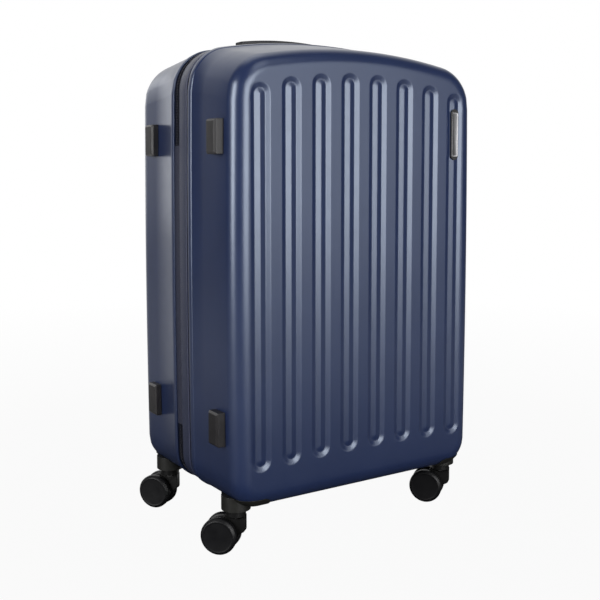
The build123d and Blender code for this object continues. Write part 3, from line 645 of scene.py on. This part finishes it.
casterForm = {
    "sideInset": 29.0, "faceInset": 45.0, "trail": 23.0, "wheelRadius": 27.5, "wheelInner": 6.1,
    "forkEdge": 0.8, "axleEdge": 0.3, "wheelSides": 72,
    "angles": {"front_left": 46.0, "front_right": 51.0, "rear_left": 53.0, "rear_right": 50.0},
}
# radius and distance from the wheel's inner face along its section, from the bore to the outer face
wheelSection = [(0.0, 10.6), (3.1, 10.6), (3.1, 0.0), (21.0, 0.0), (24.6, 0.25), (26.2, 0.9), (27.1, 2.0),
                (27.45, 3.6), (27.5, 5.6), (27.5, 8.6), (27.35, 9.4), (26.9, 10.0), (24.5, 12.6),
                (23.9, 13.0), (23.0, 13.15), (22.2, 13.05), (21.4, 12.8), (20.6, 12.72), (0.0, 12.7)]


def turned(name, center, axis, section, material, segments):
    # section of (radius, distance along the axis) spun about an axis
    axis = Vector(axis).normalized()
    up = Vector((0.0, 0.0, 1.0))
    across = axis.cross(up).normalized()
    verts, faces, rings = [], [], []
    for radius, along in section:
        hub = Vector(center) + axis * along
        if radius == 0.0:
            rings.append([len(verts)] * segments)
            verts.append(hub)
            continue
        rings.append(list(range(len(verts), len(verts) + segments)))
        for step in range(segments):
            angle = 2 * math.pi * step / segments
            verts.append(hub + (across * math.cos(angle) + up * math.sin(angle)) * radius)
    for ring, newRing in zip(rings, rings[1:]):
        for step in range(segments):
            after = (step + 1) % segments
            corners = (ring[step], ring[after], newRing[after], newRing[step])
            faces.append(tuple(dict.fromkeys(corners)))  # triangles round the middle
    return newPiece(name, verts, faces, material, sharpAngle=35)


for corner, angle in casterForm["angles"].items():
    fork, axlePin = f"{corner}_fork", f"{corner}_axle"
    softCopy(fork, camelName(fork), casterPlastic, casterForm["forkEdge"], "caster_plastic")
    softCopy(axlePin, camelName(axlePin), pinSteel, casterForm["axleEdge"], "pin_steel")
    turn = math.radians(angle)
    end, flank = corner.split("_")
    sideX = (caseForm["halfWidth"] - casterForm["sideInset"]) * (-1 if flank == "left" else 1)
    faceY = (caseForm["backFace"] - casterForm["faceInset"]) * (-1 if end == "front" else 1)
    center = Vector((sideX - casterForm["trail"] * math.cos(turn),
                     faceY + casterForm["trail"] * math.sin(turn), casterForm["wheelRadius"]))
    axle = Vector((math.sin(turn), math.cos(turn), 0.0))
    for place in ("outer", "inner"):
        node = f"{corner}_wheel_{place}"
        way = axle if (middleOf(node) - center).dot(axle) > 0 else -axle
        wheel = turned(camelName(node), center + way * casterForm["wheelInner"], way, wheelSection,
                       wheelRubber, casterForm["wheelSides"])
        seat(wheel, cadNodes[node]["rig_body"], "wheel_rubber", node)
print("casters placed")


# Bare plate on the front: a bright bevelled face on a black base

plateForm = {
    "width": 12.8, "height": 71.0, "corner": 2.6, "leastCorner": 0.6, "cornerSteps": 6, "seat": 0.8,
    "rise": 0.6, "bevel": 0.5, "rim": 2.0, "rimSlope": 0.3, "rimDrop": 0.15,
}


def roundedFrame(width, height, corner):
    spots = []
    steps = plateForm["cornerSteps"]
    for quarter, (sx, sz) in enumerate(((1, 1), (-1, 1), (-1, -1), (1, -1))):
        for step in range(steps + 1):
            angle = math.pi / 2 * (quarter + step / steps)
            spots.append((sx * (width / 2 - corner) + corner * math.cos(angle),
                          sz * (height / 2 - corner) + corner * math.sin(angle)))
    return spots


def pressPlate(name):
    # frames stacked from the seat to the sunk middle, the outer ones bright
    rise, bevel, rim = plateForm["rise"], plateForm["bevel"], plateForm["rim"]
    layers = [(0.0, 0.0), (0.0, rise - bevel), (bevel, rise), (rim, rise),
              (rim + plateForm["rimSlope"], rise - plateForm["rimDrop"])]
    middle = middleOf("name_plate")
    base = caseForm["frontFace"] - plateForm["seat"]
    verts, faces = [], []
    for inset, height in layers:
        outline = roundedFrame(plateForm["width"] - 2 * inset, plateForm["height"] - 2 * inset,
                               max(plateForm["corner"] - inset, plateForm["leastCorner"]))
        verts += [(middle.x + x, base - height, middle.z + z) for x, z in outline]
    sides = len(outline)
    for layer in range(len(layers) - 1):
        for step in range(sides):
            after = (step + 1) % sides
            faces.append((layer * sides + step, layer * sides + after,
                          (layer + 1) * sides + after, (layer + 1) * sides + step))
    faces += [tuple(range(sides)), tuple(range(len(verts) - sides, len(verts)))]
    plate = newPiece(name, verts, faces, plateMetal, sharpAngle=25)
    plate.data.materials.append(plateRim)
    for polygon in plate.data.polygons[:sides * (len(layers) - 2)]:
        polygon.material_index = 1  # bright edge round the duller middle
    return plate


seat(pressPlate("plateFace"), "front_case", "plate_metal")
print("plate placed")


# Seam: band, zips, cloth hinge and gusset

seamForm = {
    "bandFront": -16.0, "bandBack": 9.0, "bandInset": 0.6, "bandThick": 3.4, "bandSwell": 0.25,
    "softEdge": 0.5, "pipingWidth": 3.0, "pipingSink": 0.9, "pipingSides": 10,
    "tapeInset": 1.8, "tapeThick": 1.6, "zipSplit": 1.4, "hingeLow": 165.0, "hingeHigh": 607.0,
}
softCorner = ((1.0, 0.0), (0.15, 0.4), (0.0, 1.4))  # inset and run along the face, in soft edges
zipMiddle = (seamForm["bandBack"] + caseForm["backLip"]) / 2
expanderMiddle = (caseForm["frontLip"] + seamForm["bandFront"]) / 2
bandOuter, bandInner = seamForm["bandInset"], seamForm["bandInset"] + seamForm["bandThick"]
fullTrack = caseTrack("seam")


def sidePart(track, low, high, keepHinge):
    # the hinge stretch on the left of a track, or the rest of the track from end to end
    onHinge = [x < 0 and low < z < high for x, y, z in ringAt(track, zipMiddle, 0.0)]
    first = next(i for i in range(len(track)) if onHinge[i] and not onHinge[i - 1])
    rolled = track[first:] + track[:first]
    count = sum(onHinge)
    return rolled[:count] if keepHinge else rolled[count - 1:] + rolled[:1]


def roundedBand(front, back, outer, inner, swell=0.0):
    # closed profile with soft edges and a slightly crowned face
    edge = seamForm["softEdge"]
    near = [(outer + inset * edge, front + run * edge) for inset, run in softCorner]
    far = [(outer + inset * edge, back - run * edge) for inset, run in reversed(softCorner)]
    return [(inner, front), *near, (outer - swell, (front + back) / 2), *far, (inner, back)]


def pipingProfile():
    radius, sides = seamForm["pipingWidth"] / 2, seamForm["pipingSides"]
    turns = [2 * math.pi * step / sides for step in range(sides)]
    return [(bandOuter + seamForm["pipingSink"] - radius * math.sin(turn),
             seamForm["bandFront"] + radius + radius * math.cos(turn)) for turn in turns]


bandProfile = roundedBand(seamForm["bandFront"] + seamForm["pipingWidth"], seamForm["bandBack"],
                          bandOuter, bandInner, seamForm["bandSwell"])
seat(sweep("seamBand", fullTrack, bandProfile, bandCloth), "lid", "band_cloth", "seam_band")
seat(sweep("bandPiping", fullTrack, pipingProfile(), pipingCloth), "lid", "band_cloth")

zipTapes = {
    # sewn edge, middle of the zip, way to the middle, node, body, open at the hinge
    "expanderZipFront": (caseForm["frontLip"], expanderMiddle, 1, "expander_zip_front", "front_case", False),
    "expanderZipBand": (seamForm["bandFront"], expanderMiddle, -1, "expander_zip_band", "lid", False),
    "mainZipBand": (seamForm["bandBack"], zipMiddle, 1, "main_zip_band", "lid", True),
    "mainZipBack": (caseForm["backLip"], zipMiddle, -1, "main_zip_back", "back_case", True),
}
openTrack = sidePart(fullTrack, seamForm["hingeLow"], seamForm["hingeHigh"], False)
for name, (sewn, middle, way, node, body, hinged) in zipTapes.items():
    free = middle - way * seamForm["zipSplit"] / 2
    profile = roundedBand(min(sewn, free), max(sewn, free), seamForm["tapeInset"],
                          seamForm["tapeInset"] + seamForm["tapeThick"])
    tape = sweep(name, openTrack if hinged else fullTrack, profile, zipCloth, not hinged)
    seat(tape, body, "zip_cloth", node)

hingeForm = {"inset": 1.0, "steps": 9, "gap": 0.3, "endGap": 1.0, "blend": 6.0, "axisInset": 0.5}
hingeTrack = sidePart(caseTrack("hinge"), seamForm["hingeLow"] + hingeForm["endGap"],
                      seamForm["hingeHigh"] - hingeForm["endGap"], True)
hingeFront = seamForm["bandBack"] + hingeForm["gap"]
hingeWidth = caseForm["backLip"] - hingeFront
hingeProfile = [(hingeForm["inset"], hingeFront + hingeWidth * step / hingeForm["steps"])
                for step in range(hingeForm["steps"] + 1)]
hingeProfile += [(inset + seamForm["tapeThick"], y) for inset, y in reversed(hingeProfile)]
hingeStrip = sweep("hingeStrip", hingeTrack, hingeProfile, hingeCloth, False)
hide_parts("hinge_strip")
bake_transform(hingeStrip)

gussetForm = {"front": -71.0, "back": 6.0, "inset": 8.0, "thick": 1.2, "hem": 1.2, "hemGap": 0.1}
gussetInner = gussetForm["inset"] + gussetForm["thick"]
gussetHem = gussetForm["back"] - gussetForm["hem"]
gussetProfile = [(gussetForm["inset"], y) for y in (gussetForm["front"], caseForm["frontLip"], gussetHem)]
gussetProfile += [(bandInner + gussetForm["hemGap"], y) for y in (gussetHem, gussetForm["back"])]
gussetProfile += [(gussetInner, y) for y in (gussetForm["back"], caseForm["frontLip"], gussetForm["front"])]
gusset = sweep("expanderGusset", fullTrack, gussetProfile, liningCloth)
seat(gusset, "lid", "lining_cloth", "expander_gusset")
print("seam sewn")


# Rows of zip teeth and stitches, set along a line by geometry nodes

rowForms = {
    "teeth": {"pitch": 2.4, "radius": 0.55, "length": 2.2, "alongLine": False, "rise": 0.5, "gap": 0.05},
    "stitch": {"pitch": 4.2, "radius": 0.26, "length": 2.9, "alongLine": True, "sink": 0.02,
               "frontMargin": 1.6, "backMargin": 1.8},
}


def rowTree():
    # small rods at an even pitch along a line, crossing it or lying along it
    tree = bpy.data.node_groups.new("rodRow", "GeometryNodeTree")
    face = tree.interface
    face.new_socket(name="Line", in_out="INPUT", socket_type="NodeSocketGeometry")
    for label in ("Pitch", "Radius", "Length", "Quarter Turn"):
        face.new_socket(name=label, in_out="INPUT", socket_type="NodeSocketFloat")
    face.new_socket(name="Finish", in_out="INPUT", socket_type="NodeSocketMaterial")
    face.new_socket(name="Rods", in_out="OUTPUT", socket_type="NodeSocketGeometry")
    source = addNode(tree, "NodeGroupInput")
    result = addNode(tree, "NodeGroupOutput")
    curve = addNode(tree, "GeometryNodeMeshToCurve")
    even = addNode(tree, "GeometryNodeResampleCurve", mode="LENGTH")
    rod = addNode(tree, "GeometryNodeMeshCylinder", {"Vertices": 8})
    laid = addNode(tree, "GeometryNodeTransform")
    turnAngle = addNode(tree, "ShaderNodeCombineXYZ")
    restOfTurn = addNode(tree, "ShaderNodeMath", {0: math.pi / 2}, operation="SUBTRACT")
    tangent = addNode(tree, "GeometryNodeInputTangent")
    align = addNode(tree, "FunctionNodeAlignRotationToVector", axis="X", pivot_axis="Y")
    spread = addNode(tree, "GeometryNodeInstanceOnPoints")
    real = addNode(tree, "GeometryNodeRealizeInstances")
    smooth = addNode(tree, "GeometryNodeSetShadeSmooth")
    paint = addNode(tree, "GeometryNodeSetMaterial")
    for start, output, end, slot in (
            (source, "Line", curve, "Mesh"), (curve, "Curve", even, "Curve"),
            (source, "Pitch", even, "Length"), (source, "Radius", rod, "Radius"),
            (source, "Length", rod, "Depth"), (rod, "Mesh", laid, "Geometry"),
            (source, "Quarter Turn", turnAngle, "Y"), (source, "Quarter Turn", restOfTurn, 1),
            (restOfTurn, "Value", turnAngle, "X"), (turnAngle, "Vector", laid, "Rotation"),
            (tangent, "Tangent", align, "Vector"), (even, "Curve", spread, "Points"),
            (laid, "Geometry", spread, "Instance"), (align, "Rotation", spread, "Rotation"),
            (spread, "Instances", real, "Geometry"), (real, "Geometry", smooth, "Geometry"),
            (smooth, "Geometry", paint, "Geometry"), (source, "Finish", paint, "Material"),
            (paint, "Geometry", result, "Rods")):
        tree.links.new(start.outputs[output], end.inputs[slot])
    return tree


rodRow = rowTree()


def layRow(name, kind, ring, closed, finish, body, slotName):
    values = rowForms[kind]
    mesh = bpy.data.meshes.new(name + "Line")
    last = len(ring) if closed else len(ring) - 1
    mesh.from_pydata(inMetres(ring), [(i, (i + 1) % len(ring)) for i in range(last)], [])
    line = addObject(name + "Line", mesh)
    row = line.modifiers.new("row", "NODES")
    row.node_group = rodRow
    sockets = {item.name: item.identifier for item in rodRow.interface.items_tree if item.in_out == "INPUT"}
    for size in ("pitch", "radius", "length"):
        row[sockets[size.capitalize()]] = values[size] * mm
    row[sockets["Quarter Turn"]] = math.pi / 2 if values["alongLine"] else 0.0
    row[sockets["Finish"]] = finish
    rods = bpy.data.meshes.new_from_object(line.evaluated_get(bpy.context.evaluated_depsgraph_get()))
    rods.name = name
    bpy.data.objects.remove(line)
    return seat(addObject(name, rods), body, slotName)


teeth, stitch = rowForms["teeth"], rowForms["stitch"]
teethInset = seamForm["tapeInset"] - teeth["rise"]
teethShift = teeth["length"] / 2 + teeth["gap"]
for name, (sewn, middle, way, node, body, hinged) in zipTapes.items():
    ring = ringAt(openTrack if hinged else fullTrack, middle - way * teethShift, teethInset)
    layRow(name + "Teeth", "teeth", ring, not hinged, coilNylon, body, "zip_cloth")
stitchRows = {
    "bandStitchFront": seamForm["bandFront"] + seamForm["pipingWidth"] + stitch["frontMargin"],
    "bandStitchBack": seamForm["bandBack"] - stitch["backMargin"],
}
for name, y in stitchRows.items():
    ring = ringAt(fullTrack, y, bandOuter + stitch["sink"])
    layRow(name, "stitch", ring, True, threadNylon, "lid", "band_cloth")
print("zip teeth and stitches set")


# Cloth linings, stretched over the inside of each half

liningForm = {
    "inset": 6.4, "thick": 1.2, "edge": 18.0, "turns": 8, "headroom": 40.0, "floor": 102.5, "hem": 3.1,
    "wallShares": (0.0, 0.33, 0.67, 1.0), "floorShares": (0.9, 0.75, 0.55, 0.3), "lipPatch": 0.002,
}


def tubRings(track, lip, floor, inset, headroom=0.0):
    # rings from the lip down the wall, round the edge and over the floor to a small middle ring
    inward = 1 if floor > lip else -1
    edge, turns = liningForm["edge"], liningForm["turns"]
    stops = [lip + (floor - inward * edge - lip) * share for share in liningForm["wallShares"]]
    rings = [ringAt(track, y, inset, headroom) for y in stops]
    for turn in range(1, turns + 1):
        angle = math.pi / 2 * turn / turns
        rings.append(ringAt(track, floor - inward * edge * (1 - math.sin(angle)),
                            inset + edge * (1 - math.cos(angle)), headroom))
    outer = rings[-1]
    middleZ = (outer[0][2] + outer[len(track) // 2][2]) / 2
    for share in liningForm["floorShares"]:
        rings.append([(x * share, y, middleZ + (z - middleZ) * share) for x, y, z in outer])
    return rings


def sewTub(name, track, *skins):
    # outer and inner skin joined round the lip, each with a flat middle
    count = len(track)
    verts, faces, uvs, bases = [], [], [], []
    for rings in skins:
        base = len(verts)
        bases.append(base)
        run = runAlong(rings[0])
        climb = 0.0
        for ring in rings:
            verts += ring
        for j in range(len(rings) - 1):
            top = climb + math.dist(rings[j][count // 4], rings[j + 1][count // 4]) * mm
            low, high = base + j * count, base + (j + 1) * count
            for i in range(count):
                after = (i + 1) % count
                faces.append((low + i, low + after, high + after, high + i))
                uvs.append(((run[i], climb), (run[i + 1], climb), (run[i + 1], top), (run[i], top)))
            climb = top
        last = base + (len(rings) - 1) * count
        faces.append(tuple(range(last, last + count)))
        uvs.append([(x * mm, z * mm) for x, y, z in rings[-1]])
    outer, inner = bases
    patch = liningForm["lipPatch"]
    for i in range(count):
        after = (i + 1) % count
        faces.append((outer + i, outer + after, inner + after, inner + i))
        uvs.append(((0.0, 0.0), (patch, 0.0), (patch, patch), (0.0, patch)))
    return newPiece(name, verts, faces, liningCloth, uvs, sharpAngle=50)


tubTrack = caseTrack("lining")
outerInset, clothThick = liningForm["inset"], liningForm["thick"]
innerInset = outerInset + clothThick
frontLip, frontFace, backLip = caseForm["frontLip"], caseForm["frontFace"], caseForm["backLip"]
frontTub = sewTub("frontLiningTub", tubTrack,
                  tubRings(tubTrack, frontLip, frontFace + outerInset, outerInset),
                  tubRings(tubTrack, frontLip, frontFace + innerInset, innerInset))
seat(frontTub, "front_case", "lining_cloth", "front_lining")

backSkins = []
for lip, base, inset in ((backLip + clothThick, liningForm["floor"], outerInset),
                         (backLip, liningForm["floor"] - clothThick, innerInset)):
    hem = ringAt(tubTrack, lip, liningForm["hem"])
    backSkins.append([hem] + tubRings(tubTrack, lip, base, inset, liningForm["headroom"]))
backTub = sewTub("backLiningTub", tubTrack, *backSkins)
seat(backTub, "back_case", "lining_cloth", "back_lining")
print("linings sewn")


# Studio

studio = {
    "floorHalf": 30.0, "floorGrey": 0.5, "floorRoughness": 0.9,
    "shadeNear": 0.35, "shadeFar": 1.3, "paintedFloorShade": (0.06, 0.50),  # painted shade: floor grey that carries light, darkest near the case
    "floorNear": 0.8, "floorFar": 2.6, "floorWhite": 0.95,  # white that the camera sees
    "roomLevel": 0.08, "mirrorFront": 0.06, "mirrorBack": 1.0,
    "backdropWay": (0.35, 0.85, 0.39), "backdropEdge": (0.55, 0.90),
    "lens": 55.473, "sensor": 36.0, "shiftX": -0.0035, "shiftY": -0.09,
    "cameraPlace": (-0.8468, -1.2857, 0.5632), "yaw": 33.096, "pitch": -4.554,
}
softBoxes = {
    # place, aim, width and height in metres, power in watts
    "frontBox": ((0.0, -3.2, 1.05), (0.0, 0.0, 0.45), 2.0, 2.0, 80),
    "keyBox": ((0.3, -2.0, 2.9), (0.0, 0.0, 0.5), 1.4, 1.4, 10),
    "leftBox": ((-3.0, -0.5, 1.2), (0.0, 0.0, 0.45), 1.1, 2.0, 64),
    "rightBox": ((1.75, -2.75, 1.05), (0.0, 0.0, 0.45), 1.2, 2.0, 12),
    "topBox": ((0.0, 0.6, 3.0), (0.0, 0.0, 0.4), 1.6, 1.6, 8),
    "backBox": ((-0.55, 2.9, 1.2), (0.0, 0.0, 0.45), 1.0, 1.8, 5),
}
mirrorRays = ("Is Glossy Ray", "Is Transmission Ray")


def seenBy(tree, *kinds):
    # 1 for these kinds of ray, 0 for all others
    rays = addNode(tree, "ShaderNodeLightPath").outputs
    seen = rays[kinds[0]]
    for kind in kinds[1:]:
        seen = combine(tree, "MAXIMUM", seen, rays[kind])
    return seen


def vectorNode(tree, operation, vector):
    node = addNode(tree, "ShaderNodeVectorMath", operation=operation)
    tree.links.new(vector, node.inputs[0])
    return node


def towardsBackdrop(tree, way, first=0.0, last=1.0):
    # first where a way points elsewhere, last where it points at the backdrop
    heading = vectorNode(tree, "DOT_PRODUCT", way)
    heading.inputs[1].default_value = studio["backdropWay"]
    return rangeNode(tree, heading.outputs["Value"], *studio["backdropEdge"], first, last)


def lightRoom():
    # white to the camera, a white backdrop in reflections, and a dim room for all other rays
    world = bpy.data.worlds.new("studio")
    scene.world = world
    world.use_nodes = True
    sky = world.node_tree
    backdrop = towardsBackdrop(sky, coordsOf(sky, "Generated"), studio["mirrorFront"], studio["mirrorBack"])
    mirrored = rangeNode(sky, seenBy(sky, *mirrorRays), 0.0, 1.0, studio["roomLevel"], backdrop)
    roomLight = rangeNode(sky, seenBy(sky, "Is Camera Ray"), 0.0, 1.0, mirrored, 1.0)
    background = sky.nodes["Background"]
    background.inputs["Color"].default_value = (1.0, 1.0, 1.0, 1.0)
    sky.links.new(roomLight, background.inputs["Strength"])


def paintFloor():
    # painted shade: grey that darkens towards the case for the rays that carry light, white where the floor
    # is looked at
    grey = studio["floorGrey"]
    material, tree, shader = startMaterial("floorPaint", (grey, grey, grey), studio["floorRoughness"],
                                           Specular_IOR_Level=0.0)
    place = coordsOf(tree, "Object")
    distance = vectorNode(tree, "LENGTH", place).outputs["Value"]
    # painted shade: the floor's colour darkens towards the case, standing in for its shadow in reflections
    # and bounce light
    shade = rangeNode(tree, distance, studio["shadeNear"], studio["shadeFar"], *studio["paintedFloorShade"])
    tree.links.new(shade, shader.inputs["Base Color"])
    paleness = rangeNode(tree, distance, studio["floorNear"], studio["floorFar"], studio["floorWhite"], 1.0)
    mirrored = towardsBackdrop(tree, vectorNode(tree, "NORMALIZE", place).outputs["Vector"])
    mirrorShare = combine(tree, "MULTIPLY", mirrored, seenBy(tree, *mirrorRays))
    cameraShare = combine(tree, "MULTIPLY", paleness, seenBy(tree, "Is Camera Ray"))
    white = addNode(tree, "ShaderNodeEmission", {"Strength": 1.0})
    blend = addNode(tree, "ShaderNodeMixShader")
    tree.links.new(combine(tree, "MAXIMUM", cameraShare, mirrorShare), blend.inputs["Fac"])
    tree.links.new(shader.outputs[0], blend.inputs[1])
    tree.links.new(white.outputs[0], blend.inputs[2])
    tree.links.new(blend.outputs[0], tree.nodes["Material Output"].inputs["Surface"])
    return material


def layFloor():
    half = studio["floorHalf"]
    mesh = bpy.data.meshes.new("floor")
    mesh.from_pydata([(-half, -half, 0), (half, -half, 0), (half, half, 0), (-half, half, 0)], [],
                     [(0, 1, 2, 3)])
    mesh.materials.append(paintFloor())
    return addObject("floor", mesh)


def hangSoftBox(name, place, aim, width, height, power):
    lamp = bpy.data.lights.new(name, "AREA")
    lamp.shape = "RECTANGLE"
    lamp.size, lamp.size_y = width, height
    lamp.energy = power
    holder = addObject(name, lamp)
    holder.location = place
    holder.rotation_euler = (Vector(aim) - Vector(place)).to_track_quat("-Z", "Y").to_euler()


lightRoom()
floor = layFloor()
for name, values in softBoxes.items():
    hangSoftBox(name, *values)

cameraData = bpy.data.cameras.new("camera")
cameraData.lens = studio["lens"]
cameraData.sensor_width = studio["sensor"]
cameraData.shift_x = studio["shiftX"]
cameraData.shift_y = studio["shiftY"]
camera = addObject("camera", cameraData)
camera.location = studio["cameraPlace"]
camera.rotation_euler = (math.pi / 2 + math.radians(studio["pitch"]), 0.0, -math.radians(studio["yaw"]))
scene.camera = camera
scene.view_settings.view_transform = "Standard"
print("studio lit")
